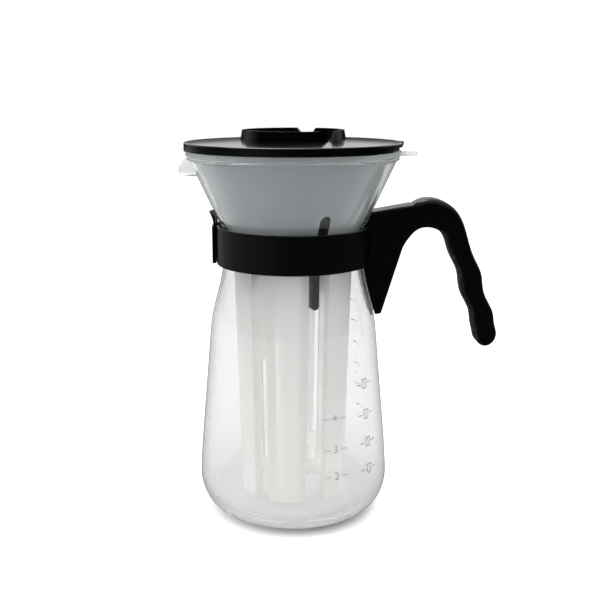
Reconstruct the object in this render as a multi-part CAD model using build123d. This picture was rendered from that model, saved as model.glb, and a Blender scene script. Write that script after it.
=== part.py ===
"""Pour-over iced coffee maker: glass server, strap handle, ice strainer, dripper and lid.

Millimetres. +Z is up, the origin is the centre of the server's foot, the handle points along +X
and the spout along -X. Angles go round +Z from the handle, in degrees.
"""
import os
from math import cos, degrees, pi, radians, sin, tan

from build123d import *

# ---- clearances ----
part_gap = 0.3              # between pieces that lie against each other
pin_clearance = 0.06        # radial, hinge pin in its knuckles
cone_clearance = 2.7        # strainer cone inside the glass cone, at the rim
cone_foot_clearance = 0.7   # and at the glass cone's foot
neck_clearance = 3.4        # basket inside the glass waist
floor_clearance = 5.3       # basket above the inside of the floor
dripper_clearance = 1.7     # dripper cone inside the strainer cone, at the rim

full_turn = 360.0
edge_land = 0.05            # flat left between two rounded edges
same_within = 0.05          # how close two lengths or places count as the same

# ---- glass server, outside sizes ----
foot_radius = 36.0
body_radius = 56.2
body_widest_height = 26.0
shoulder_radius = 48.2
shoulder_height = 117.0
waist_radius = 40.0
waist_height = 159.0
waist_flare = 2.0
waist_flare_height = 13.0
rim_radius = 59.9
rim_height = 210.5
bead_radius = 1.3
glass_wall = 2.0
floor_thickness = 4.4
foot_slope = 0.1            # of the glass where it leaves the foot
spout_reach = 5.2           # beyond the rim
spout_drop = 11.2           # from the rim down to the underside of the tip
spout_dip = 7.3             # from the rim down to the upper edge of the tip
spout_tip_width = 10.6
spout_nose_radius = 8.0
spout_root = 12.0           # inside the rim
spout_root_width = 20.0
spout_root_drop = 12.4
spout_wall = 1.6
spout_keel_round = 0.35     # sideways slope of the beak's sides at the rim

# ---- strap ----
strap_height = 21.8
strap_top_margin = 1.3      # below the start of the glass cone
strap_thickness = 2.0
strap_edge_round = 0.6
strap_far_end = 165.0
strap_opening = 16.4        # degrees, from the far end to the near one
catch_height = 0.8
catch_width = 1.1

# ---- clip and its pin ----
clip_thickness = 2.2
clip_overlap = 4.0          # degrees, past the strap's near end
hinge_inset = 4.0           # degrees, from the strap's far end
clip_corner = 1.4
knuckle_radius = 2.2
knuckle_length = 8.0
pin_radius = 1.0
tab_thickness = 1.3
tab_rise = 8.0
tab_clearance = 1.9         # between the tab's tip and the glass cone
tab_lean = 0.6              # outward slope at the tab's tip
tab_inset = 2.4             # degrees, from the clip's near end
tab_width = 15.0            # degrees
tab_root = 3.0
tab_corner = 2.5

# ---- handle ----
handle_width = 16.0
bracket_rise = 7.9          # above the strap, at the glass
bracket_slope = 10.0        # degrees
bracket_drop = 29.7         # foot below the strap
bracket_foot_reach = 9.1    # foot out from the strap's inside
bracket_round = 1.5
web_lean = 17.0             # degrees
crest_reach = 32.7          # crest of the grip out from the strap
crest_rise = 15.3           # above the strap
crest_run = 8.8             # from the bracket's flat top to the crest
crest_sink = 3.6            # start of the crest's curve below its top
shoulder_reach = 15.2       # beyond the crest
shoulder_drop = 5.6         # below the crest
arch_reach = 33.0
arch_drop = 1.3             # underside of the arch below the strap's top
arch_run = 8.6              # either way from the arch's top
arch_fall = 3.6             # below its top there
bend_length = 4.2
leg_reach = 53.6            # middle of the leg's top out from the strap
leg_drop = 15.7             # below the strap's top
leg_length = 49.0
leg_lean = 18.5             # degrees
leg_end = 7.5
tip_corner_out = 0.36       # the tip's corner points, as shares of the grip's width
tip_corner_up = 0.32        # and of the tip's height
grip_width = 12.9
grip_round = 3.6
finger_wave = 0.85
finger_pitch = 24.0
rib_width = 5.0
rib_head_width = 9.0
rib_neck = 2.4
rib_head = 2.2
rib_margin = 2.6
rib_clearance = 0.1

# ---- ice strainer ----
strainer_turn = -7.5        # how the loose strainer stands in the server
strainer_wall = 1.5
flange_overhang = 1.0
flange_thickness = 2.4
thumb_tab_reach = 8.8
thumb_tab_width = 13.0
thumb_tab_thickness = 1.8
thumb_tab_round = 3.0
basket_taper = 3.8
basket_round = 3.0
channel_count = 6
channel_depth = 5.5
slot_channel_width = 12.4
plain_channel_width = 9.6
channel_top_margin = 3.0
slot_width = 6.9
slot_share = 0.41           # of the cone's height that the slots with fins run up
slot_above_floor = 26.5
plain_slot_width = 5.6
plain_slot_top = 63.5       # below the basket's top
window_sill = 4.0
window_height = 13.0

# ---- dripper ----
dripper_wall = 2.0
outlet_radius = 9.0
outlet_drop = 18.0          # below the basket's top
dripper_rim_inset = 0.8     # inside the lid's skirt
dripper_rim_thickness = 1.9
fin_count = 3
fin_thickness = 4.4
fin_setback = 3.0           # fin's edge inside the strainer's outside
fin_foot_drop = 34.0        # below the basket's top
fin_foot_width = 4.0
fin_sink = 1.0              # into the dripper's wall
fin_foot_lean = 0.2         # inward slope of the fin's inner edge at its foot
fin_root_rise = 0.1         # slope of that edge where it meets the cone
fin_clearance = 0.4         # inside the strainer's cone, when lifted out

# ---- lid ----
lid_turn = 11.0             # how the loose lid stands on the server
lid_overhang = 0.9          # beyond the strainer's flange
lid_thickness = 2.1
lid_crown = 1.8
skirt_depth = 4.5
skirt_wall = 3.4
lip_reach = 3.8
lip_root = 3.0
lip_width = 16.0
lip_tip_width = 3.0
lip_sink = 0.5
lip_round = 1.2
lid_edge_round = 0.9
recess_depth = 1.8
recess_height = 2.4
recess_half_angle = 57.0
knob_radius = 30.0
knob_height = 5.4
knob_taper = 1.1
knob_wall = 2.4
notch_count = 3
notch_top_width = 11.5
notch_bottom_width = 3.5

# ---- places that follow from the sizes above ----
cone_radius = waist_radius + waist_flare
cone_height = waist_height + waist_flare_height
cone_slope = (rim_radius - cone_radius) / (rim_height - cone_height)

strap_top = cone_height - strap_top_margin
strap_bottom = strap_top - strap_height
strap_inner = cone_radius + part_gap
strap_outer = strap_inner + strap_thickness
clip_inner = strap_outer + part_gap
clip_outer = clip_inner + clip_thickness
pin_orbit = strap_outer + part_gap + knuckle_radius
strap_near_end = strap_far_end + strap_opening
clip_near_end = strap_near_end + clip_overlap
clip_hinge_angle = strap_far_end - hinge_inset
handle_inner = waist_radius / 2

flange_bottom = rim_height + part_gap
flange_top = flange_bottom + flange_thickness
flange_radius = rim_radius + flange_overhang
strainer_top_radius = rim_radius - glass_wall - cone_clearance
strainer_foot_radius = cone_radius - glass_wall - cone_foot_clearance
strainer_slope = (strainer_top_radius - strainer_foot_radius) / (flange_bottom - cone_height)
basket_top_radius = waist_radius - glass_wall - neck_clearance
basket_top = cone_height - (strainer_foot_radius - basket_top_radius) / strainer_slope
basket_bottom = floor_thickness + floor_clearance
basket_bottom_radius = basket_top_radius - basket_taper
basket_slope = basket_taper / (basket_top - basket_bottom)
slot_top = basket_top + slot_share * (flange_bottom - basket_top)
slot_bottom = basket_bottom + slot_above_floor

lid_radius = flange_radius + lid_overhang
skirt_inner = lid_radius - skirt_wall
skirt_bottom = flange_top + part_gap
lid_edge_height = skirt_bottom + skirt_depth
dripper_rim_bottom = flange_top + part_gap
dripper_rim_radius = skirt_inner - dripper_rim_inset
dripper_top_radius = strainer_top_radius - strainer_wall - dripper_clearance
outlet_height = basket_top - outlet_drop
dripper_slope = (dripper_top_radius - outlet_radius - dripper_wall) / (dripper_rim_bottom - outlet_height)
dripper_turn = strainer_turn - degrees(((slot_width - fin_thickness) / 2 - part_gap) / cone_radius)


def polygon(*points):
    """A face in the XZ plane through (x, z) corners."""
    return Face(Wire.make_polygon([(x, 0, z) for x, z in points]))


def turned(face, start=0.0, sweep=full_turn):
    """A face in the XZ plane turned about Z, from one angle through a sweep."""
    return Rot(0, 0, start) * revolve(face, Axis.Z, revolution_arc=sweep)


def ring(inner, outer, bottom, top, start=0.0, sweep=full_turn):
    """A plain ring, or a sector of one."""
    return turned(polygon((inner, bottom), (outer, bottom), (outer, top), (inner, top)), start, sweep)


def plate(face, width):
    """A face in the XZ plane given a width, half on either side."""
    return extrude(Pos(0, -width / 2, 0) * face, amount=width, dir=(0, 1, 0))


def around(shape, count, start=0.0):
    """Copies of a shape evenly spaced about Z."""
    return [Rot(0, 0, start + full_turn * i / count) * shape for i in range(count)]


# ---- glass server ----
def glass_outline(inset=0.0, bottom=0.0):
    """Half of the server's outline, from the floor to the rim, moved in by a distance."""
    up = (0, 0, 1)
    widest = (body_radius - inset, 0, body_widest_height)
    shoulder = (shoulder_radius - inset, 0, shoulder_height)
    waist = (waist_radius - inset, 0, waist_height)
    cone = (cone_radius - inset, 0, cone_height)
    rim = (rim_radius - inset, 0, rim_height)
    floor_edge = (foot_radius, 0, bottom)
    return Face(Wire([
        Line((0, 0, bottom), floor_edge),
        Spline([floor_edge, widest], tangents=[(1, 0, foot_slope), up]),
        Spline([widest, shoulder, waist], tangents=[up, up]),
        Spline([waist, cone], tangents=[up, (cone_slope, 0, 1)]),
        Line(cone, rim),
        Line(rim, (0, 0, rim_height)),
        Line((0, 0, rim_height), (0, 0, bottom)),
    ]))


def spout_form(inset=0.0, reach=0.0):
    """The beak as a solid with a rounded keel, thinner by an inset on each side."""
    tip = rim_radius + spout_reach + reach
    sections = []
    for x, drop, width in (
        (rim_radius - spout_root, spout_root_drop, spout_root_width),
        (tip, spout_drop, spout_tip_width),
    ):
        half = width / 2 - inset
        keel = rim_height - drop + inset
        outline = [
            Spline([(-x, -half, rim_height), (-x, 0, keel), (-x, half, rim_height)],
                   tangents=[(0, spout_keel_round, -1), (0, spout_keel_round, 1)]),
            Line((-x, half, rim_height), (-x, -half, rim_height)),
        ]
        sections.append(Face(Wire(outline)))
    nose = tip - spout_nose_radius
    plan = Pos(-nose, 0) * Circle(spout_nose_radius) + Pos(-nose / 2, 0) * Rectangle(nose, 2 * spout_root_width)
    return loft(sections) & extrude(plan, amount=rim_height)


def glass_server():
    outside = turned(glass_outline())
    inside = turned(glass_outline(glass_wall, floor_thickness))
    bead = turned(Plane.XZ * Pos(rim_radius - glass_wall / 2, rim_height - bead_radius) * Circle(bead_radius))
    tip = -rim_radius - spout_reach
    above = rim_height + bead_radius
    beak_edge = Face(Wire([
        Spline([(-rim_radius + 2 * bead_radius, 0, above), (tip, 0, rim_height - spout_dip)],
               tangents=[(-1, 0, -0.4), (-0.5, 0, -1)]),
        Line((tip, 0, rim_height - spout_dip), (2 * tip, 0, rim_height - spout_dip)),
        Line((2 * tip, 0, rim_height - spout_dip), (2 * tip, 0, above)),
        Line((2 * tip, 0, above), (-rim_radius + 2 * bead_radius, 0, above)),
    ]))
    solid = outside + bead + spout_form() - plate(beak_edge, 2 * spout_root_width)
    return solid - inside - spout_form(spout_wall, spout_wall)


# ---- strap, clip and pin ----
def glass_clearance():
    """The server's outside with the gap that other pieces keep from it."""
    return turned(glass_outline(-part_gap, -part_gap))


def span(length, radius):
    """The angle that a length takes up at a radius."""
    return degrees(length / radius)


def rod(radius, bottom, top):
    """A cylinder on the clip's hinge line."""
    x = pin_orbit * cos(radians(clip_hinge_angle))
    y = pin_orbit * sin(radians(clip_hinge_angle))
    return Pos(x, y, bottom) * extrude(Circle(radius), amount=top - bottom)


def rib_section(grow=0.0):
    """Plan of the T-shaped rib that holds the handle on the strap."""
    start = strap_outer - strap_thickness / 2
    neck_end = strap_outer + rib_neck
    neck = Pos((start + neck_end) / 2, 0) * Rectangle(neck_end - start + 2 * grow, rib_width + 2 * grow)
    head = Pos(neck_end + rib_head / 2, 0) * Rectangle(rib_head + 2 * grow, rib_head_width + 2 * grow)
    return neck + head


def rib_prism(grow=0.0):
    height = strap_height - 2 * rib_margin + 2 * grow
    return Pos(0, 0, strap_bottom + rib_margin - grow) * extrude(rib_section(grow), amount=height)


def strap():
    section = polygon((strap_inner, strap_bottom), (strap_outer, strap_bottom),
                      (strap_outer, strap_top), (strap_inner, strap_top))
    section = fillet(section.vertices(), strap_edge_round)
    loop = turned(section, strap_near_end - full_turn, full_turn - strap_near_end + strap_far_end)
    middle = (strap_top + strap_bottom) / 2
    low = middle - knuckle_length / 2
    high = middle + knuckle_length / 2
    foot = span(knuckle_radius, pin_orbit)
    barrel = rod(knuckle_radius, low, high)
    barrel += ring(strap_outer - strap_thickness / 2, pin_orbit, low, high, clip_hinge_angle - foot, foot)
    catch = ring(strap_outer - strap_thickness / 2, strap_outer + catch_height, low, high,
                 strap_near_end, span(catch_width, strap_outer))
    return loop + barrel + catch + rib_prism() - rod(pin_radius + pin_clearance, strap_bottom, strap_top)


def clip():
    start = clip_hinge_angle
    middle = (strap_top + strap_bottom) / 2
    low = middle - knuckle_length / 2 - part_gap
    high = middle + knuckle_length / 2 + part_gap
    cover = ring(clip_inner, clip_outer, strap_bottom, strap_top, start, clip_near_end - start)
    corners = cover.edges().filter_by(lambda e: abs(e.length - clip_thickness) < same_within).sort_by(Axis.Y)[:2]
    cover = fillet(corners, clip_corner)
    groove_start = strap_near_end - span(part_gap, strap_outer)
    groove = ring(strap_outer, strap_outer + catch_height + part_gap, low, high,
                  groove_start, span(catch_width + 2 * part_gap, strap_outer))
    cover -= rod(knuckle_radius + part_gap, low, high) + groove
    barrels = rod(knuckle_radius, strap_bottom, low) + rod(knuckle_radius, high, strap_top)
    return cover + barrels + clip_tab() - rod(pin_radius + pin_clearance, strap_bottom, strap_top)


def clip_tab():
    """The thin pull tab above the clip, flared away from the glass."""
    root_height = strap_top - tab_root
    tip_height = strap_top + tab_rise
    flare = cone_radius + (tip_height - cone_height) * cone_slope + tab_clearance - clip_inner
    sides = []
    for start in (clip_inner, clip_inner + tab_thickness):
        root = (start, 0, root_height)
        bend = (start, 0, strap_top)
        tip = (start + flare, 0, tip_height)
        sides.append((root, tip, [Line(root, bend), Spline([bend, tip], tangents=[(0, 0, 1), (tab_lean, 0, 1)])]))
    (near_root, near_tip, near), (far_root, far_tip, far) = sides
    face = Face(Wire(near + far + [Line(near_root, far_root), Line(near_tip, far_tip)]))
    tab = turned(face, clip_near_end - tab_inset - tab_width, tab_width)
    corners = [e for e in tab.edges()
               if abs(e.length - tab_thickness) < same_within and (e @ 0.5).Z > tip_height - tab_thickness]
    return fillet(corners, tab_corner)


def clip_pin():
    return rod(pin_radius, strap_bottom, strap_top)


# ---- handle ----
def leg_side(offset):
    """Points down one side of the wavy grip, a distance out from its middle line."""
    count = round(4 * leg_length / finger_pitch)
    points = []
    for i in range(count + 1):
        drop = leg_length * i / count
        middle = strap_outer + leg_reach + drop * tan(radians(leg_lean))
        wave = finger_wave * cos(2 * pi * drop / finger_pitch)
        points.append((middle + offset - wave, 0, strap_top - leg_drop - drop))
    return points


def handle_edges():
    """The handle's side view: the soft edge from crest round the grip to the foot, and the rest."""
    lean = tan(radians(web_lean))
    outer = leg_side(grip_width / 2)
    inner = leg_side(-grip_width / 2)
    crest = (strap_outer + crest_reach, 0, strap_top + crest_rise)
    shoulder = (crest[0] + shoulder_reach, 0, crest[2] - shoulder_drop)
    root = (crest[0] - crest_run, 0, crest[2] - crest_sink)
    arch = (strap_outer + arch_reach, 0, strap_top - arch_drop)
    arch_side = (arch[0] + arch_run, 0, arch[2] - arch_fall)
    heel = (strap_inner + bracket_foot_reach, 0, strap_bottom - bracket_drop)
    arch_end = (arch[0] - arch_run, 0, arch[2] - arch_fall)
    tip_x = (outer[-1][0] + inner[-1][0]) / 2
    tip_z = outer[-1][2] - leg_end
    corner = grip_width * tip_corner_out
    corner_z = tip_z + leg_end * tip_corner_up
    tip = [(tip_x + corner, 0, corner_z), (tip_x, 0, tip_z), (tip_x - corner, 0, corner_z)]
    grip = Spline([root, crest, shoulder] + outer + tip + inner[::-1] + [arch_side, arch, arch_end])
    along = (grip % 1).Z / (grip % 1).X
    bend_x = (arch_end[2] - heel[2] - arch_end[0] * along + heel[0] / lean) / (1 / lean - along)
    bend = (bend_x, 0, heel[2] + (bend_x - heel[0]) / lean)
    web_end = (bend_x - bend_length * lean, 0, bend[2] - bend_length)
    soft = [grip, Bezier(arch_end, bend, web_end), Line(web_end, heel)]
    hidden = [
        Line(heel, (handle_inner, 0, heel[2])),
        Line((handle_inner, 0, heel[2]), (handle_inner, 0, strap_top)),
        Line((handle_inner, 0, strap_top), (root[0], 0, strap_top)),
        Line((root[0], 0, strap_top), root),
    ]
    return soft, hidden


def rim_edges(body, outline):
    """The edges of a plate that lie over the edges of an outline, on both faces."""
    middles = [edge @ 0.5 for edge in outline]
    return [e for e in body.edges() if any(
        abs((e @ 0.5).X - m.X) + abs((e @ 0.5).Z - m.Z) < same_within
        and abs((e @ 0.5).Y) > same_within for m in middles)]


def handle():
    soft, hidden = handle_edges()
    body = plate(Face(Wire(soft + hidden)), handle_width)
    body = fillet(rim_edges(body, soft), grip_round)
    rise = tan(radians(bracket_slope))
    end = strap_outer + crest_reach - crest_run
    height = strap_top + bracket_rise
    shelf = plate(polygon(
        (handle_inner, strap_top),
        (end + crest_sink, strap_top),
        (end, height + (end - strap_outer) * rise),
        (handle_inner, height + (handle_inner - strap_outer) * rise),
    ), handle_width)
    shelf = fillet([e for e in shelf.edges() if min((e @ 0).Z, (e @ 1).Z) > strap_top + same_within
                    and abs((e @ 0.5).Y) > same_within], bracket_round)
    strap_envelope = ring(0, strap_outer + part_gap, strap_bottom - part_gap, strap_top + part_gap)
    return body + shelf - glass_clearance() - strap_envelope - rib_prism(rib_clearance)


# ---- ice strainer ----
def strainer_radius(height):
    """Outside radius of the strainer's wall at a height."""
    if height > basket_top:
        return basket_top_radius + (height - basket_top) * strainer_slope
    return basket_bottom_radius + (height - basket_bottom) * basket_slope


def groove(width, depth, top):
    """A straight channel down the basket, as a solid that reaches out past the wall."""
    low = basket_bottom - channel_depth
    return plate(polygon(
        (strainer_radius(low) - depth, low),
        (strainer_top_radius, low),
        (strainer_top_radius, top),
        (strainer_radius(top) - depth, top),
    ), width)


def wall_cut(width, bottom, top, round_top=0.0):
    """A cut straight out through one side of the strainer's wall."""
    cut = Pos((strainer_top_radius + basket_bottom_radius / 2) / 2, 0, (bottom + top) / 2) * Box(
        strainer_top_radius - basket_bottom_radius / 2, width, top - bottom)
    if round_top:
        cut = fillet(cut.edges().filter_by(Axis.X).group_by(Axis.Z)[-1], round_top)
    return cut


def ice_strainer():
    outside = polygon(
        (0, basket_bottom),
        (basket_bottom_radius, basket_bottom),
        (basket_top_radius, basket_top),
        (strainer_top_radius, flange_bottom),
        (flange_radius, flange_bottom),
        (flange_radius, flange_top),
        (0, flange_top),
    )
    corner = outside.vertices().sort_by_distance((basket_bottom_radius, 0, basket_bottom))[0]
    outside = fillet(corner, basket_round)
    inner_top = strainer_top_radius - strainer_wall + flange_thickness * strainer_slope
    inside = polygon(
        (0, basket_bottom + strainer_wall),
        (basket_bottom_radius - strainer_wall, basket_bottom + strainer_wall),
        (basket_top_radius - strainer_wall, basket_top),
        (inner_top, flange_top),
        (0, flange_top),
    )
    outer = turned(outside)
    hollow = turned(inside)
    channel_top = basket_top - channel_top_margin
    cuts = []
    for i in range(channel_count):
        has_fin = i % 2 == 1
        width = slot_channel_width if has_fin else plain_channel_width
        turn = Rot(0, 0, full_turn * i / channel_count)
        outer -= turn * groove(width, channel_depth, channel_top)
        hollow -= turn * groove(width + 2 * strainer_wall, channel_depth + strainer_wall, channel_top + strainer_wall)
        if has_fin:
            cuts.append(turn * wall_cut(slot_width, slot_bottom, slot_top, slot_width / 2 - edge_land))
        else:
            cuts.append(turn * wall_cut(plain_slot_width, slot_bottom, basket_top - plain_slot_top,
                                        plain_slot_width / 2 - edge_land))
        window_bottom = basket_bottom + window_sill
        cuts.append(turn * wall_cut(width, window_bottom, window_bottom + window_height))
    thumb = Pos(flange_radius, 0, flange_bottom) * extrude(
        RectangleRounded(2 * thumb_tab_reach, thumb_tab_width, thumb_tab_round), amount=thumb_tab_thickness)
    body = outer + (thumb - turned(inside)) - hollow - cuts
    return Rot(0, 0, strainer_turn) * body


# ---- dripper ----
def dripper():
    inner_top = dripper_top_radius - dripper_wall + dripper_rim_thickness * dripper_slope
    cone = turned(polygon(
        (outlet_radius, outlet_height),
        (outlet_radius + dripper_wall, outlet_height),
        (dripper_top_radius, dripper_rim_bottom),
        (dripper_rim_radius, dripper_rim_bottom),
        (dripper_rim_radius, dripper_rim_bottom + dripper_rim_thickness),
        (inner_top, dripper_rim_bottom + dripper_rim_thickness),
    ))
    return Rot(0, 0, dripper_turn) * (cone + around(fin(), fin_count, full_turn / (2 * fin_count)))


def fin():
    """One upright fin under the cone, that reaches out through a slot of the strainer."""
    reach = strainer_radius(slot_top - slot_width / 2) - strainer_wall - fin_clearance
    inner = outlet_radius + dripper_wall / 2
    inner_height = outlet_height + fin_sink
    top = inner_height + (reach - inner) / dripper_slope
    reach_height = basket_top + (reach + fin_setback - basket_top_radius) / strainer_slope
    foot = basket_top - fin_foot_drop
    foot_out = strainer_radius(foot) - fin_setback
    foot_in = foot_out - fin_foot_width
    outline = Wire([
        Line((inner, 0, inner_height), (reach, 0, top)),
        Line((reach, 0, top), (reach, 0, reach_height)),
        Line((reach, 0, reach_height), (basket_top_radius - fin_setback, 0, basket_top)),
        Line((basket_top_radius - fin_setback, 0, basket_top), (foot_out, 0, foot)),
        Line((foot_out, 0, foot), (foot_in, 0, foot)),
        Spline([(foot_in, 0, foot), (inner, 0, inner_height)], tangents=[(-fin_foot_lean, 0, 1), (-1, 0, fin_root_rise)]),
    ])
    body = plate(Face(outline), fin_thickness)
    return fillet(body.edges().filter_by(Axis.X).group_by(Axis.Z)[0], fin_thickness / 2 - edge_land)


# ---- lid ----
def dome(height):
    """The shallow arc of the lid's top or underside, from the axis to the edge."""
    half = lid_radius / 2
    return ThreePointArc((0, 0, height + lid_crown), (half, 0, height + lid_crown * 0.75), (lid_radius, 0, height))


def lid():
    under = lid_edge_height - lid_thickness
    top_arc = dome(lid_edge_height)
    top = Face(Wire([top_arc, Line(top_arc @ 1, (lid_radius, 0, skirt_bottom)),
                     Line((lid_radius, 0, skirt_bottom), (0, 0, skirt_bottom)),
                     Line((0, 0, skirt_bottom), top_arc @ 0)]))
    corner = top.vertices().sort_by_distance(top_arc @ 1)[0]
    top = fillet(corner, lid_edge_round)
    under_arc = dome(under)
    hollow = Face(Wire([under_arc, Line(under_arc @ 1, (lid_radius, 0, 0)),
                        Line((lid_radius, 0, 0), (0, 0, 0)), Line((0, 0, 0), under_arc @ 0)]))
    hollow_solid = turned(hollow) & ring(0, skirt_inner, 0, lid_edge_height + lid_crown)
    recess = ring(lid_radius - recess_depth, lid_radius + lip_reach, 0, skirt_bottom + recess_height,
                  -recess_half_angle, 2 * recess_half_angle)
    cover = turned(top) + lip() - hollow_solid - recess
    return Rot(0, 0, lid_turn) * (cover + knob())


def lip():
    """The small pointed lip at the edge, drawn up to meet the lid's top."""
    root = lid_radius - lid_edge_round - lip_root
    side = lip_width / 2
    plan = Face(Wire.make_polygon([(root, -side), (lid_radius + lip_reach, -lip_tip_width / 2),
                                   (lid_radius + lip_reach, lip_tip_width / 2), (root, side)]))
    body = Pos(0, 0, lid_edge_height - lid_thickness - lip_sink) * extrude(plan, amount=lid_thickness)
    return fillet(body.edges().filter_by(Axis.Z).group_by(Axis.X)[-1], lip_round)


def knob():
    """The grip ring with its notches."""
    base = lid_edge_height + lid_crown / 2
    top = lid_edge_height + lid_crown * (1 - (knob_radius / lid_radius) ** 2) + knob_height
    band = turned(polygon((knob_radius - knob_wall, base), (knob_radius, base),
                          (knob_radius - knob_taper, top), (knob_radius - knob_taper - knob_wall, top)))
    notch = Face(Wire.make_polygon([
        (0, -notch_bottom_width / 2, top - knob_height),
        (0, notch_bottom_width / 2, top - knob_height),
        (0, notch_top_width / 2, top),
        (0, -notch_top_width / 2, top),
    ]))
    notch = extrude(notch, amount=2 * knob_radius, dir=(1, 0, 0))
    return band - around(notch, notch_count, full_turn / (2 * notch_count))


makers = (glass_server, strap, clip, clip_pin, handle, ice_strainer, dripper, lid)

if __name__ == "__main__":
    os.makedirs("parts", exist_ok=True)
    for make in makers:
        export_step(make(), f"parts/{make.__name__}.step")
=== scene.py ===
"""Looks of the pour-over iced coffee maker: materials, printed scale, studio and camera.

Metres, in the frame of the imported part: +Z is up and the handle points along +X.
"""

from math import cos, radians, sin

import bmesh
import bpy
from mathutils import Matrix, Vector
from mathutils.bvhtree import BVHTree


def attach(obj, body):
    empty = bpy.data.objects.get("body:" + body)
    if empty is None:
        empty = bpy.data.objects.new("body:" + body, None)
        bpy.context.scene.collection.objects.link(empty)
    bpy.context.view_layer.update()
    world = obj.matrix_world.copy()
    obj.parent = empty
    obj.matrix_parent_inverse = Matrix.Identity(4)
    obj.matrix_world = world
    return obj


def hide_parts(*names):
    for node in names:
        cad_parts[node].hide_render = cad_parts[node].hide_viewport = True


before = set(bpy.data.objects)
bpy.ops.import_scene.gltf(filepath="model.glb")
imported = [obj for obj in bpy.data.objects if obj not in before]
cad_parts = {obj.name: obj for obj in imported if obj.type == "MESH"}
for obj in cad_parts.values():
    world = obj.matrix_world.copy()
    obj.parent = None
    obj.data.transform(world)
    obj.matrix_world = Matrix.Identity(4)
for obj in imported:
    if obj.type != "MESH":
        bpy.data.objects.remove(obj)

bl_info = {
    "name": "Iced coffee maker looks",
    "version": (1, 0, 0),
    "blender": (4, 5, 0),
    "location": "View3D > Sidebar > Coffee Maker",
    "description": "Dresses the packed coffee maker: materials, printed scale and studio",
    "category": "Object",
}

# Printed marks: heights above the foot, sizes of the flat print before it is laid on the glass
INK_THICKNESS = 0.00008
BAR_STEP = 0.0012  # longest flat length of a bar
DASH_PLACE = 0.0052  # from the middle of a number to the middle of its dash
CUP_HEIGHTS = ((4, 0.0696), (3, 0.0519), (2, 0.0365))
CUP_PRINT = {"size": 0.0062, "dash": 0.0036, "line": 0.0005}
POT_HEIGHTS = ((5, 0.0849), (4, 0.0673), (3, 0.051), (2, 0.0353))
POT_PRINT = {"size": 0.0034, "dash": 0.0034, "line": 0.0006}
BOX_LINE = 0.0007
BOX_BARS = ((0.003, -0.0025), (0.0042, 0.0025))  # width and height of the foot and the top
BOX_CORNERS = ((0.0016, -0.0025), (0.0022, 0.0025))  # where a side starts and ends
TICK_NUMBERS = (8, 7, 6, 5, 4, 3)
TICK_WIDTH, DOT_WIDTH, TICK_LINE = 0.004, 0.0008, 0.0006
TICK_TEXT, TICK_TEXT_DROP = 0.003, 0.0008

# Measuring the glass
RAY_START = 0.2  # from the axis, well outside the glass
SIDE_REACH = 0.01  # how far above the straight side its blend can reach

# Index of refraction
GLASS_IOR, BLACK_IOR, FROST_IOR = 1.47, 1.49, 1.35

# Lights and camera
LIGHT_TARGET = (0, 0, 0.1)
OVERHEAD_PLACE, OVERHEAD_SIZE = (-0.18, 0.25, 1.0), (0.6, 0.5)
SIDE_LIGHTS = (("left", (-0.85, -0.1, 0.3), 0.4), ("right", (0.85, 0.1, 0.35), 0.3))  # share of the key light
SIDE_SIZE = (0.3, 0.6)
CAMERA_ANGLE, CAMERA_DIP = -92.0, 12.76  # round the object and down from level, in degrees
CAMERA_LENS, CAMERA_SENSOR, CAMERA_SHIFT = 56.2, 36.0, 0.01133

# Greys and strengths of the table and the surround, by the kind of ray that meets them
TABLE_HALF = 3.0
TABLE_GREY, TABLE_SEEN, TABLE_MIRRORED, TABLE_THROUGH = 0.86, 0.33, 0.02, 0.2
TABLE_DEEP, TABLE_INSIDE = 0.8, 0.5
ROOM_GREY, ROOM_SEEN, ROOM_SCATTERED, ROOM_INSIDE = 0.6, 1.02, 1.7, 0.75

# Ramps, each as start, end, value up to the start and value from the end on
GLASS_HAZE = (0.45, 0.8, 0.0, 0.03)  # roughness, by the smear noise
# Painted shadow: the table has no glow for the camera round the foot, so it stays grey there round the lights'
# real shadow.
TABLE_WHITE_PAST_PAINTED_SHADOW = (0.040, 0.058, 0.0, 1.0)  # glow for the camera, by distance from the middle
TABLE_SIDES = (0.12, 0.6, 0.6, 0.38)  # glow through glass, by distance to the side
# Painted shadow: seen through the glass, the table glows less near the middle, for the object's own shadow.
TABLE_PAINTED_SHADOW_THROUGH = (0.05, 0.2, 0.75, 1.0)  # the same, by distance from the middle
TABLE_LEFT = (-0.55, -0.3, 0.25, 0.0)  # glow in reflections, by X
ROOM_BACK = (-0.2, 0.5, 0.005, 1.0)  # in reflections, by Y
ROOM_LOW = (0.07, 0.12, 0.04, 1.0)  # in reflections, by Z
ROOM_ABOVE = (0.35, 0.95, 0.0, 0.85)  # in reflections, by Z
ROOM_SIDES = (0.15, 0.75, 1.0, 0.5)  # in reflections and through glass, by distance to the side
ROOM_THROUGH = (-0.2, 0.4, 0.7, 0.9)  # through glass, by Y


# ---- settings ----
class GlassSettings(bpy.types.PropertyGroup):
    """How the server's glass looks."""
    tint: bpy.props.FloatVectorProperty(
        name="Tint", description="Colour that the glass lets through",
        subtype="COLOR", size=3, min=0.0, max=1.0, default=(0.975, 0.98, 0.978))
    ripple: bpy.props.FloatProperty(
        name="Ripple", description="Strength of the slow waves in blown glass",
        default=0.03, min=0.0, max=1.0, subtype="FACTOR")
    shadow_light: bpy.props.FloatProperty(
        name="Light in shadow",
        description="Share of direct light that each face lets through to what it shades",
        default=0.85, min=0.0, max=1.0, subtype="FACTOR")
    side_low: bpy.props.FloatVectorProperty(
        name="Side foot", description="Radius and height where the straight side starts above the foot",
        subtype="XYZ", unit="LENGTH", size=2, default=(0.0563, 0.024))
    side_high: bpy.props.FloatVectorProperty(
        name="Side top", description="Radius and height where the straight side meets the shoulder",
        subtype="XYZ", unit="LENGTH", size=2, default=(0.0475, 0.121))
    side_blend: bpy.props.FloatProperty(
        name="Side blend", description="How softly the straight side runs into the foot and the shoulder",
        default=0.0015, min=0.0001, unit="LENGTH")


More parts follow.
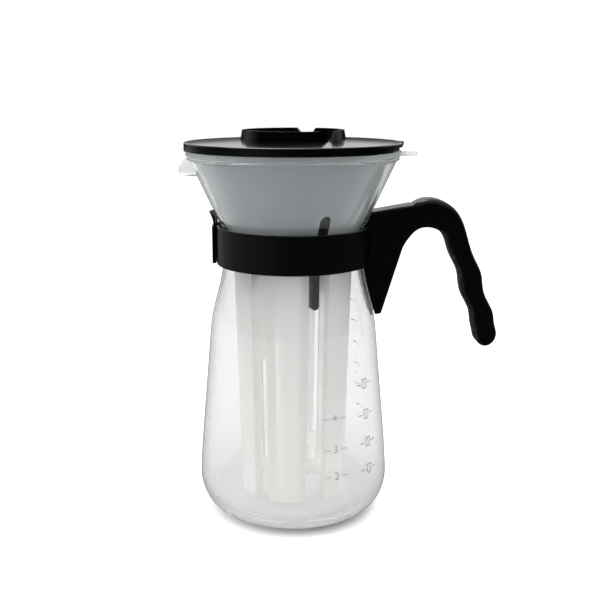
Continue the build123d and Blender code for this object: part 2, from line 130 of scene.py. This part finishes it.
class PlasticSettings(bpy.types.PropertyGroup):
    """How the moulded pieces look."""
    black: bpy.props.FloatVectorProperty(
        name="Black", description="Colour of the black plastic",
        subtype="COLOR", size=3, min=0.0, max=1.0, default=(0.0010, 0.0010, 0.0011))
    frost: bpy.props.FloatVectorProperty(
        name="Frost", description="Colour of the milky strainer",
        subtype="COLOR", size=3, min=0.0, max=1.0, default=(0.97, 0.97, 0.96))
    glow_share: bpy.props.FloatProperty(
        name="Translucency", description="Share of light that the strainer's faces let through",
        default=0.4, min=0.0, max=1.0, subtype="FACTOR")
    # Painted shade: a cool grey-blue colour that the strainer takes near its top, where the dark dripper sits
    # behind its wall.
    milk: bpy.props.FloatVectorProperty(
        name="Milk", description="Cool colour that the milky plastic scatters back over something dark",
        subtype="COLOR", size=3, min=0.0, max=1.0, default=(0.76, 0.87, 0.91))
    # Painted shade: the strainer's colour turns from frost to the cool colour between these two heights.
    milk_heights: bpy.props.FloatVectorProperty(
        name="Milk heights",
        description="Heights between which the smoky dripper starts to show through as a cool tint",
        subtype="XYZ", unit="LENGTH", size=2, default=(0.12, 0.17))
    milk_share: bpy.props.FloatProperty(
        name="Milkiness", description="Share of light that the strainer scatters back",
        default=0.14, min=0.0, max=1.0, subtype="FACTOR")
    grain_size: bpy.props.FloatProperty(
        name="Grain size", description="Size of the fine texture on moulded faces",
        default=0.0006, min=0.0001, max=0.01, unit="LENGTH")


class ScaleSettings(bpy.types.PropertyGroup):
    """Where the printed scale stands on the glass."""
    ink: bpy.props.FloatVectorProperty(
        name="Ink", description="Colour of the print",
        subtype="COLOR", size=3, min=0.0, max=1.0, default=(0.32, 0.32, 0.32))
    cup_angle: bpy.props.FloatProperty(
        name="Cup marks", description="Angle of the plain numbers round the glass",
        default=radians(-65.9), subtype="ANGLE")
    tick_angle: bpy.props.FloatProperty(
        name="Tick marks", description="Angle of the ticks and dots, on the far wall of the glass",
        default=radians(35.2), subtype="ANGLE")
    tick_top: bpy.props.FloatProperty(
        name="Top tick", description="Height of the highest tick", default=0.121, min=0.0, unit="LENGTH")
    tick_step: bpy.props.FloatProperty(
        name="Tick step", description="From one tick to the next", default=0.0139, min=0.001, unit="LENGTH")
    pot_angle: bpy.props.FloatProperty(
        name="Pot marks", description="Angle of the boxed numbers round the glass",
        default=radians(-40.0), subtype="ANGLE")


class StageSettings(bpy.types.PropertyGroup):
    """Camera and light."""
    distance: bpy.props.FloatProperty(
        name="Distance", description="Camera from the object's axis",
        default=0.5367, min=0.1, unit="LENGTH")
    height: bpy.props.FloatProperty(
        name="Height", description="Camera above the table", default=0.2477, unit="LENGTH")
    key_power: bpy.props.FloatProperty(
        name="Key light", description="Power of the large overhead light in watts", default=9.0, min=0.0)


# ---- small helpers ----
def material(name):
    """A new material with only a Principled shader, its node tree and that shader."""
    made = bpy.data.materials.new(name)
    made.use_nodes = True
    tree = made.node_tree
    tree.nodes.clear()
    out = tree.nodes.new("ShaderNodeOutputMaterial")
    shader = tree.nodes.new("ShaderNodeBsdfPrincipled")
    tree.links.new(shader.outputs[0], out.inputs["Surface"])
    return made, tree, shader


def new_group(name, inputs, outputs):
    """An empty shader node group with float inputs and typed outputs."""
    group = bpy.data.node_groups.new(name, "ShaderNodeTree")
    for label, default in inputs:
        socket = group.interface.new_socket(label, in_out="INPUT", socket_type="NodeSocketFloat")
        socket.default_value = default
    for label, kind in outputs:
        group.interface.new_socket(label, in_out="OUTPUT", socket_type=kind)
    return group, group.nodes.new("NodeGroupInput"), group.nodes.new("NodeGroupOutput")


def moulded_texture():
    """Group: fine moulded grain, faint handling marks and cloudiness, from object coordinates."""
    name = "moulded texture"
    if name in bpy.data.node_groups:
        return bpy.data.node_groups[name]
    group, enter, leave = new_group(
        name,
        (("Grain size", 0.0006), ("Grain depth", 0.15), ("Base roughness", 0.3), ("Roughness spread", 0.06)),
        (("Roughness", "NodeSocketFloat"), ("Cloud", "NodeSocketFloat"), ("Normal", "NodeSocketVector")))
    nodes, link = group.nodes, group.links.new
    coords = nodes.new("ShaderNodeTexCoord")
    grain = add_noise(group, coords, Detail=3.0)
    link(combine(group, "DIVIDE", 1.0, enter.outputs["Grain size"]), grain.inputs["Scale"])
    bump = nodes.new("ShaderNodeBump")
    bump.inputs["Distance"].default_value = 0.0001
    link(enter.outputs["Grain depth"], bump.inputs["Strength"])
    link(grain.outputs["Fac"], bump.inputs["Height"])
    link(bump.outputs[0], leave.inputs["Normal"])
    cloud = add_noise(group, coords, Scale=22.0, Detail=5.0, Roughness=0.6)
    link(cloud.outputs["Fac"], leave.inputs["Cloud"])
    centred = combine(group, "SUBTRACT", cloud.outputs["Fac"], 0.5)
    roughness = combine(group, "MULTIPLY_ADD", centred, enter.outputs["Roughness spread"],
                        enter.outputs["Base roughness"])
    link(roughness, leave.inputs["Roughness"])
    return group


def add_texture(tree, **values):
    """Puts the moulded texture group in a material and sets its inputs."""
    node = tree.nodes.new("ShaderNodeGroup")
    node.node_tree = moulded_texture()
    for label, value in values.items():
        node.inputs[label.replace("_", " ")].default_value = value
    return node


def set_material(node_name, made):
    """Gives a CAD piece one material."""
    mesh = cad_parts[node_name].data
    mesh.materials.clear()
    mesh.materials.append(made)


def lerp_colour(tree, low, high, factor):
    """A mix of two colours. The first may be a socket."""
    mix = tree.nodes.new("ShaderNodeMix")
    mix.data_type = "RGBA"
    if isinstance(low, bpy.types.NodeSocket):
        tree.links.new(low, mix.inputs["A"])
    else:
        mix.inputs["A"].default_value = (*low, 1.0)
    mix.inputs["B"].default_value = (*high, 1.0)
    tree.links.new(factor, mix.inputs["Factor"])
    return mix.outputs["Result"]


def coordinates(tree, kind):
    """The socket of one kind of coordinates, and the sockets of their X, Y and Z."""
    coords = tree.nodes.new("ShaderNodeTexCoord").outputs[kind]
    split = tree.nodes.new("ShaderNodeSeparateXYZ")
    tree.links.new(coords, split.inputs[0])
    return coords, split.outputs


def add_noise(tree, coords, **values):
    """A noise texture in object coordinates."""
    node = tree.nodes.new("ShaderNodeTexNoise")
    for label, value in values.items():
        node.inputs[label].default_value = value
    tree.links.new(coords.outputs["Object"], node.inputs["Vector"])
    return node


def combine(tree, operation, *values):
    """A math node on sockets or numbers."""
    node = tree.nodes.new("ShaderNodeMath")
    node.operation = operation
    for socket, value in zip(node.inputs, values):
        if isinstance(value, float):
            socket.default_value = value
        else:
            tree.links.new(value, socket)
    return node.outputs[0]


def deeper_than(tree, path, kind, count):
    """1 for rays that have met more than a count of one kind of surface, 0 for the others."""
    return combine(tree, "GREATER_THAN", path.outputs[kind + " Depth"], count + 0.5)


def ramp(tree, value, start, end, low, high, kind="SMOOTHSTEP"):
    """A step from one value to another, smooth unless told otherwise."""
    node = tree.nodes.new("ShaderNodeMapRange")
    node.interpolation_type = kind
    for label, number in (("From Min", start), ("From Max", end), ("To Min", low), ("To Max", high)):
        node.inputs[label].default_value = number
    tree.links.new(value, node.inputs["Value"])
    return node.outputs["Result"]


def mix_shaders(tree, factor, first, second):
    """Sends a mix of two shaders to the material's surface and returns its node."""
    mix = tree.nodes.new("ShaderNodeMixShader")
    if isinstance(factor, float):
        mix.inputs["Fac"].default_value = factor
    else:
        tree.links.new(factor, mix.inputs["Fac"])
    tree.links.new(first.outputs[0], mix.inputs[1])
    tree.links.new(second.outputs[0], mix.inputs[2])
    tree.links.new(mix.outputs[0], tree.nodes["Material Output"].inputs["Surface"])
    return mix


# ---- server glass ----
class COFFEE_OT_glass(bpy.types.Operator):
    """Clear glass with the slow ripple of a blown wall"""
    bl_idname = "coffee.glass"
    bl_label = "Glass Server"

    def execute(self, context):
        settings = context.scene.coffee_glass
        made, tree, shader = material("clear glass")
        shader.inputs["Base Color"].default_value = (*settings.tint, 1.0)
        shader.inputs["Metallic"].default_value = 0.0
        shader.inputs["Transmission Weight"].default_value = 1.0
        shader.inputs["IOR"].default_value = GLASS_IOR
        nodes, link = tree.nodes, tree.links.new
        coords = nodes.new("ShaderNodeTexCoord")
        slow = add_noise(tree, coords, Scale=26.0, Detail=1.0)
        bump = nodes.new("ShaderNodeBump")
        bump.inputs["Strength"].default_value = settings.ripple
        bump.inputs["Distance"].default_value = 0.0008
        link(slow.outputs["Fac"], bump.inputs["Height"])
        link(bump.outputs[0], shader.inputs["Normal"])
        smear = add_noise(tree, coords, Scale=60.0, Detail=6.0)
        haze = ramp(tree, smear.outputs["Fac"], *GLASS_HAZE, kind="LINEAR")
        link(haze, shader.inputs["Roughness"])
        # Light passes to what the glass shades, and rays that are very deep go straight on
        path = nodes.new("ShaderNodeLightPath")
        lit = combine(tree, "MULTIPLY", path.outputs["Is Shadow Ray"], settings.shadow_light)
        deep = combine(tree, "MAXIMUM", deeper_than(tree, path, "Ray", 8), deeper_than(tree, path, "Glossy", 1))
        mix_shaders(tree, combine(tree, "MAXIMUM", lit, deep), shader, nodes.new("ShaderNodeBsdfTransparent"))
        set_material("glass_server", made)
        self.add_straight_server(context, settings)
        return {"FINISHED"}

    def add_straight_server(self, context, settings):
        """Replaces the CAD glass by a copy whose bowed side is drawn in to the straight cone of the real one."""
        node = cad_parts["glass_server"]
        surface = surface_of(context, node)
        mesh = node.data.copy()
        for vertex in mesh.vertices:
            height = vertex.co.z
            if settings.side_low[1] / 2 < height < settings.side_high[1] + SIDE_REACH:
                outside = glass_radius(surface, radians(-90.0), height)
                length = vertex.co.xy.length
                drawn = (length + self.side_radius(settings, height, outside) - outside) / length
                vertex.co.x *= drawn
                vertex.co.y *= drawn
        server = bpy.data.objects.new("server_glass", mesh)
        context.scene.collection.objects.link(server)
        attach(server, "server")
        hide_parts("glass_server")

    def side_radius(self, settings, height, radius):
        """The smaller of the CAD's radius and the straight side's, with a soft change between them."""
        (low_radius, low_height), (high_radius, high_height) = settings.side_low, settings.side_high
        share = (height - low_height) / (high_height - low_height)
        cone = low_radius + (high_radius - low_radius) * share
        near = max(0.0, 1.0 - abs(radius - cone) / settings.side_blend)
        return min(radius, cone) - near * near * settings.side_blend / 4


# ---- black pieces ----
class COFFEE_OT_black_pieces(bpy.types.Operator):
    """Satin strap, clip and handle, glossy lid and smoky dripper"""
    bl_idname = "coffee.black_pieces"
    bl_label = "Black Pieces"

    def execute(self, context):
        settings = context.scene.coffee_plastic
        for name, roughness, gloss, depth, nodes_named in (
            ("satin black plastic", 0.3, 0.3, 0.15, ("strap", "clip", "handle")),
            ("glossy black plastic", 0.12, 0.3, 0.04, ("lid",)),
            ("smoky plastic", 0.3, 0.5, 0.08, ("dripper",)),
        ):
            made, tree, shader = material(name)
            texture = add_texture(tree, Grain_size=settings.grain_size, Grain_depth=depth,
                                  Base_roughness=roughness, Roughness_spread=0.12)
            pale = [c * 1.8 for c in settings.black]
            colour = lerp_colour(tree, settings.black, pale, texture.outputs["Cloud"])
            tree.links.new(colour, shader.inputs["Base Color"])
            tree.links.new(texture.outputs["Roughness"], shader.inputs["Roughness"])
            tree.links.new(texture.outputs["Normal"], shader.inputs["Normal"])
            shader.inputs["IOR"].default_value = BLACK_IOR
            shader.inputs["Specular IOR Level"].default_value = gloss
            for node_name in nodes_named:
                set_material(node_name, made)
        return {"FINISHED"}


class COFFEE_OT_pin(bpy.types.Operator):
    """Steel hinge pin"""
    bl_idname = "coffee.pin"
    bl_label = "Hinge Pin"

    def execute(self, context):
        made, tree, shader = material("pin steel")
        texture = add_texture(tree, Grain_size=0.0002, Grain_depth=0.3,
                              Base_roughness=0.32, Roughness_spread=0.2)
        shader.inputs["Base Color"].default_value = (0.56, 0.56, 0.55, 1.0)
        shader.inputs["Metallic"].default_value = 1.0
        tree.links.new(texture.outputs["Roughness"], shader.inputs["Roughness"])
        tree.links.new(texture.outputs["Normal"], shader.inputs["Normal"])
        set_material("clip_pin", made)
        return {"FINISHED"}


# ---- strainer ----
class COFFEE_OT_strainer(bpy.types.Operator):
    """Milky translucent plastic for the ice strainer, with painted cool shade near its top"""
    bl_idname = "coffee.strainer"
    bl_label = "Ice Strainer"

    def execute(self, context):
        settings = context.scene.coffee_plastic
        made, tree, shader = material("frosted plastic")
        texture = add_texture(tree, Grain_size=settings.grain_size, Grain_depth=0.1,
                              Base_roughness=0.25, Roughness_spread=0.08)
        dim = [c * 0.98 for c in settings.frost]
        colour = lerp_colour(tree, dim, settings.frost, texture.outputs["Cloud"])
        tree.links.new(colour, shader.inputs["Base Color"])
        tree.links.new(texture.outputs["Roughness"], shader.inputs["Roughness"])
        tree.links.new(texture.outputs["Normal"], shader.inputs["Normal"])
        shader.inputs["Metallic"].default_value = 0.0
        shader.inputs["IOR"].default_value = FROST_IOR
        shader.inputs["Transmission Weight"].default_value = 0.95
        glow = tree.nodes.new("ShaderNodeBsdfTranslucent")
        tree.links.new(colour, glow.inputs["Color"])
        # Painted shade: the scattered colour turns cool grey-blue between the shade heights, where the dark
        # dripper sits behind the wall.
        milk = tree.nodes.new("ShaderNodeBsdfDiffuse")
        painted_shade_mask = ramp(tree, coordinates(tree, "Object")[1]["Z"], *settings.milk_heights, 0.0, 1.0)
        tree.links.new(lerp_colour(tree, settings.frost, settings.milk, painted_shade_mask), milk.inputs["Color"])
        glowing = mix_shaders(tree, settings.glow_share, shader, glow)
        mix_shaders(tree, settings.milk_share, glowing, milk)
        set_material("ice_strainer", made)
        return {"FINISHED"}


# ---- printed scale ----
def surface_of(context, holder):
    """A search tree of an object's faces for ray casts."""
    return BVHTree.FromObject(holder, context.evaluated_depsgraph_get())


def glass_radius(surface, angle, height):
    """Radius of the server's outside at an angle and a height, from a ray cast on its mesh."""
    outward = Vector((cos(angle), sin(angle), 0.0))
    place = surface.ray_cast(outward * RAY_START + Vector((0.0, 0.0, height)), -outward)[0]
    return Vector((place.x, place.y)).length


def text_mesh(body, size):
    """The flat mesh of a text, centred on the origin."""
    curve = bpy.data.curves.new("text", "FONT")
    curve.body = body
    curve.align_x = "CENTER"
    curve.align_y = "CENTER"
    holder = bpy.data.objects.new("text", curve)
    bpy.context.scene.collection.objects.link(holder)
    bpy.context.view_layer.update()
    mesh = bpy.data.meshes.new_from_object(holder.evaluated_get(bpy.context.evaluated_depsgraph_get()))
    bpy.data.objects.remove(holder)
    mesh.transform(Matrix.Scale(size, 4))
    return mesh


def add_bar(work, x, y, width, height):
    """A flat bar in a bmesh, cut into short lengths so that it can follow the glass."""
    count = max(1, int(width / BAR_STEP))
    rows = []
    for i in range(count + 1):
        at = x - width / 2 + width * i / count
        rows.append([work.verts.new((at, edge, 0)) for edge in (y - height / 2, y + height / 2)])
    for (low_a, high_a), (low_b, high_b) in zip(rows, rows[1:]):
        work.faces.new((low_a, low_b, high_b, high_a))


def wrap(mesh, surface, angle, height):
    """Lays a flat mesh on the glass, its middle at an angle and a height."""
    middle_radius = glass_radius(surface, angle, height)
    for vertex in mesh.vertices:
        z = height + vertex.co.y
        turn = angle + vertex.co.x / middle_radius
        radius = glass_radius(surface, turn, z) + INK_THICKNESS
        vertex.co = Vector((radius * cos(turn), radius * sin(turn), z))


class COFFEE_OT_scale(bpy.types.Operator):
    """Plain numbers and ticks printed on the glass"""
    bl_idname = "coffee.printed_scale"
    bl_label = "Printed Scale"

    def execute(self, context):
        settings = context.scene.coffee_scale
        surface = surface_of(context, bpy.data.objects["server_glass"])
        made, tree, shader = material("scale ink")
        texture = add_texture(tree, Grain_size=0.0003, Grain_depth=0.1,
                              Base_roughness=0.5, Roughness_spread=0.1)
        thin = [min(1.0, c * 1.25) for c in settings.ink]
        colour = lerp_colour(tree, settings.ink, thin, texture.outputs["Cloud"])
        tree.links.new(colour, shader.inputs["Base Color"])
        tree.links.new(texture.outputs["Roughness"], shader.inputs["Roughness"])
        pieces = []
        for number, height in CUP_HEIGHTS:
            pieces.append(self.mark(str(number), surface, settings.cup_angle, height, **CUP_PRINT))
        for number, height in POT_HEIGHTS:
            pieces.append(self.mark(str(number), surface, settings.pot_angle, height, boxed=True, **POT_PRINT))
        for row, number in enumerate(TICK_NUMBERS):
            height = settings.tick_top - row * settings.tick_step
            pieces.append(self.tick(TICK_WIDTH, surface, settings.tick_angle, height, str(number)))
            pieces.append(self.tick(DOT_WIDTH, surface, settings.tick_angle, height - settings.tick_step / 2))
        work = bmesh.new()
        for piece in pieces:
            work.from_mesh(piece)
        mesh = bpy.data.meshes.new("printed_scale")
        work.to_mesh(mesh)
        work.free()
        mesh.materials.append(made)
        marks = bpy.data.objects.new("printed_scale", mesh)
        context.scene.collection.objects.link(marks)
        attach(marks, "server")
        return {"FINISHED"}

    def mark(self, text, surface, angle, height, size, dash, line, boxed=False):
        """A number with a dash on either side and, where it is boxed, a box round it."""
        work = bmesh.new()
        work.from_mesh(text_mesh(text, size))
        for side in (-1, 1):
            add_bar(work, side * DASH_PLACE, 0.0, dash, line)
        if boxed:
            for width, y in BOX_BARS:
                add_bar(work, 0.0, y, width, BOX_LINE)
            for side in (-1, 1):
                (x0, y0), (x1, y1) = [(side * x, y) for x, y in BOX_CORNERS]
                work.faces.new([work.verts.new((x, y, 0)) for x, y in (
                    (x0 - BOX_LINE / 2, y0), (x0 + BOX_LINE / 2, y0),
                    (x1 + BOX_LINE / 2, y1), (x1 - BOX_LINE / 2, y1))])
        return self.lay("mark", work, surface, angle, height)

    def tick(self, width, surface, angle, height, text=""):
        """A tick or a dot, with a small number at its side where there is one."""
        work = bmesh.new()
        add_bar(work, 0.0, 0.0, width, TICK_LINE)
        if text:
            number = text_mesh(text, TICK_TEXT)
            number.transform(Matrix.Translation((-width, -TICK_TEXT_DROP, 0.0)))
            work.from_mesh(number)
        return self.lay("tick", work, surface, angle, height)

    def lay(self, name, work, surface, angle, height):
        """A mesh of a flat bmesh, laid on the glass."""
        flat = bpy.data.meshes.new(name)
        work.to_mesh(flat)
        work.free()
        wrap(flat, surface, angle, height)
        return flat


# ---- stage ----
def add_area(name, location, size, power):
    """An area light that faces the object."""
    light = bpy.data.lights.new(name, "AREA")
    light.shape = "RECTANGLE"
    light.size, light.size_y = size
    light.energy = power
    holder = bpy.data.objects.new(name, light)
    holder.location = location
    holder.rotation_euler = (Vector(LIGHT_TARGET) - holder.location).to_track_quat("-Z", "Y").to_euler()
    bpy.context.scene.collection.objects.link(holder)
    return holder


class COFFEE_OT_stage(bpy.types.Operator):
    """White table and surround, soft lights and the camera"""
    bl_idname = "coffee.stage"
    bl_label = "Stage and Camera"

    def execute(self, context):
        settings = context.scene.coffee_stage
        self.add_floor(context)
        self.set_world(context)
        add_area("overhead", OVERHEAD_PLACE, OVERHEAD_SIZE, settings.key_power)
        for name, location, share in SIDE_LIGHTS:
            side = add_area(name, location, SIDE_SIZE, settings.key_power * share)
            side.visible_glossy = False
            side.visible_transmission = False
        self.add_camera(context, settings)
        context.scene.view_settings.view_transform = "Standard"
        return {"FINISHED"}

    def add_floor(self, context):
        """A table that glows plain white further out and not round the foot, a painted shadow there over the
        lights' real one.
        """
        mesh = bpy.data.meshes.new("table")
        corners = ((-1, -1), (1, -1), (1, 1), (-1, 1))
        mesh.from_pydata([(x * TABLE_HALF, y * TABLE_HALF, 0) for x, y in corners], [], [(0, 1, 2, 3)])
        table = bpy.data.objects.new("table", mesh)
        context.scene.collection.objects.link(table)
        made, tree, shader = material("white table")
        shader.inputs["Roughness"].default_value = 0.6
        path = tree.nodes.new("ShaderNodeLightPath")
        camera_ray, glass_ray = path.outputs["Is Camera Ray"], path.outputs["Is Transmission Ray"]
        mirror_ray = combine(tree, "SUBTRACT", path.outputs["Is Glossy Ray"], glass_ray)
        mirror_ray.node.use_clamp = True
        colour = [TABLE_GREY] * 3
        for ray, grey in ((camera_ray, TABLE_SEEN), (mirror_ray, TABLE_MIRRORED), (glass_ray, TABLE_THROUGH)):
            colour = lerp_colour(tree, colour, [grey] * 3, ray)
        tree.links.new(colour, shader.inputs["Base Color"])

        coords, split = coordinates(tree, "Object")
        length = tree.nodes.new("ShaderNodeVectorMath")
        length.operation = "LENGTH"
        tree.links.new(coords, length.inputs[0])
        middle = length.outputs["Value"]
        sideways = combine(tree, "ABSOLUTE", split["X"])
        inside = deeper_than(tree, path, "Transmission", 0)
        deep = combine(tree, "MAXIMUM", deeper_than(tree, path, "Transmission", 5),
                       deeper_than(tree, path, "Diffuse", 0))

        # Painted shadow: for the camera the table is greyer and has no glow near the foot, so it reads dark there
        # round the lights' real shadow; further out the glow makes it plain white.
        white_past_painted_shadow = ramp(tree, middle, *TABLE_WHITE_PAST_PAINTED_SHADOW)
        # Painted shadow: through glass the glow is also lower near the middle, for the object's own shadow.
        through = combine(tree, "MULTIPLY", ramp(tree, sideways, *TABLE_SIDES), ramp(tree, middle, *TABLE_PAINTED_SHADOW_THROUGH))
        through = combine(tree, "ADD", through, combine(tree, "MULTIPLY", deep, TABLE_DEEP))
        mirrored = combine(tree, "MAXIMUM", ramp(tree, split["X"], *TABLE_LEFT),
                           combine(tree, "MULTIPLY", inside, TABLE_INSIDE))
        glow = combine(tree, "MULTIPLY", white_past_painted_shadow, camera_ray)
        for strength, ray in ((through, glass_ray), (mirrored, mirror_ray)):
            glow = combine(tree, "ADD", glow, combine(tree, "MULTIPLY", strength, ray))
        tree.links.new(glow, shader.inputs["Emission Strength"])
        shader.inputs["Emission Color"].default_value = (1, 1, 1, 1)
        mesh.materials.append(made)

    def set_world(self, context):
        """White behind the object, a dark room on the camera's side and soft light from above."""
        world = bpy.data.worlds.new("surround")
        world.use_nodes = True
        context.scene.world = world
        tree = world.node_tree
        nodes, link = tree.nodes, tree.links.new
        split = coordinates(tree, "Generated")[1]
        path = nodes.new("ShaderNodeLightPath")
        inside = deeper_than(tree, path, "Transmission", 0)
        scattered = deeper_than(tree, path, "Diffuse", 0)
        sides = ramp(tree, combine(tree, "ABSOLUTE", split["X"]), *ROOM_SIDES)

        mirrored = combine(tree, "MULTIPLY", ramp(tree, split["Y"], *ROOM_BACK), ramp(tree, split["Z"], *ROOM_LOW))
        mirrored = combine(tree, "MULTIPLY", mirrored, sides)
        mirrored = combine(tree, "MAXIMUM", mirrored, ramp(tree, split["Z"], *ROOM_ABOVE))
        mirrored = combine(tree, "MAXIMUM", mirrored, combine(tree, "MULTIPLY", inside, ROOM_INSIDE))
        through = combine(tree, "MULTIPLY", ramp(tree, split["Y"], *ROOM_THROUGH), sides)
        through = combine(tree, "MAXIMUM", through, combine(tree, "MULTIPLY", scattered, ROOM_SCATTERED))
        level = ROOM_GREY
        for ray, strength in (("Glossy", mirrored), ("Transmission", through), ("Camera", ROOM_SEEN)):
            mix = nodes.new("ShaderNodeMix")
            link(path.outputs[f"Is {ray} Ray"], mix.inputs["Factor"])
            for label, value in (("A", level), ("B", strength)):
                if isinstance(value, float):
                    mix.inputs[label].default_value = value
                else:
                    link(value, mix.inputs[label])
            level = mix.outputs["Result"]
        link(level, nodes["Background"].inputs["Strength"])
        nodes["Background"].inputs["Color"].default_value = (1, 1, 1, 1)

    def add_camera(self, context, settings):
        """The camera, in front of the object and a little above its lid."""
        lens = bpy.data.cameras.new("camera")
        lens.lens = CAMERA_LENS
        lens.sensor_width = CAMERA_SENSOR
        lens.shift_x = CAMERA_SHIFT
        lens.clip_start = 0.01
        camera = bpy.data.objects.new("camera", lens)
        angle = radians(CAMERA_ANGLE)
        camera.location = (settings.distance * cos(angle), settings.distance * sin(angle), settings.height)
        camera.rotation_euler = (radians(90.0 - CAMERA_DIP), 0.0, radians(CAMERA_ANGLE + 90.0))
        context.scene.collection.objects.link(camera)
        context.scene.camera = camera


# ---- panel ----
class COFFEE_PT_panel(bpy.types.Panel):
    """Settings and buttons of every group"""
    bl_label = "Coffee Maker"
    bl_idname = "COFFEE_PT_panel"
    bl_space_type = "VIEW_3D"
    bl_region_type = "UI"
    bl_category = "Coffee Maker"

    def draw(self, context):
        for settings, operators in GROUPS:
            box = self.layout.box()
            group = getattr(context.scene, settings)
            for name in group.__annotations__:
                box.prop(group, name)
            for operator in operators:
                box.operator(operator)


GROUPS = (
    ("coffee_glass", ("coffee.glass",)),
    ("coffee_plastic", ("coffee.black_pieces", "coffee.pin", "coffee.strainer")),
    ("coffee_scale", ("coffee.printed_scale",)),
    ("coffee_stage", ("coffee.stage",)),
)
SETTINGS = {
    "coffee_glass": GlassSettings,
    "coffee_plastic": PlasticSettings,
    "coffee_scale": ScaleSettings,
    "coffee_stage": StageSettings,
}
CLASSES = (
    *SETTINGS.values(),
    COFFEE_OT_glass,
    COFFEE_OT_black_pieces,
    COFFEE_OT_pin,
    COFFEE_OT_strainer,
    COFFEE_OT_scale,
    COFFEE_OT_stage,
    COFFEE_PT_panel,
)


def register():
    """Registers every class and puts the settings on the scene."""
    for cls in CLASSES:
        bpy.utils.register_class(cls)
    for name, kind in SETTINGS.items():
        setattr(bpy.types.Scene, name, bpy.props.PointerProperty(type=kind))


def unregister():
    """Takes the settings off the scene and unregisters every class."""
    for name in SETTINGS:
        delattr(bpy.types.Scene, name)
    for cls in reversed(CLASSES):
        bpy.utils.unregister_class(cls)


def main():
    """Dresses the part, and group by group."""
    register()
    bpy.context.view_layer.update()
    for _, operators in GROUPS:
        for operator in operators:
            area, name = operator.split(".")
            getattr(getattr(bpy.ops, area), name)()


if __name__ == "__main__":
    main()
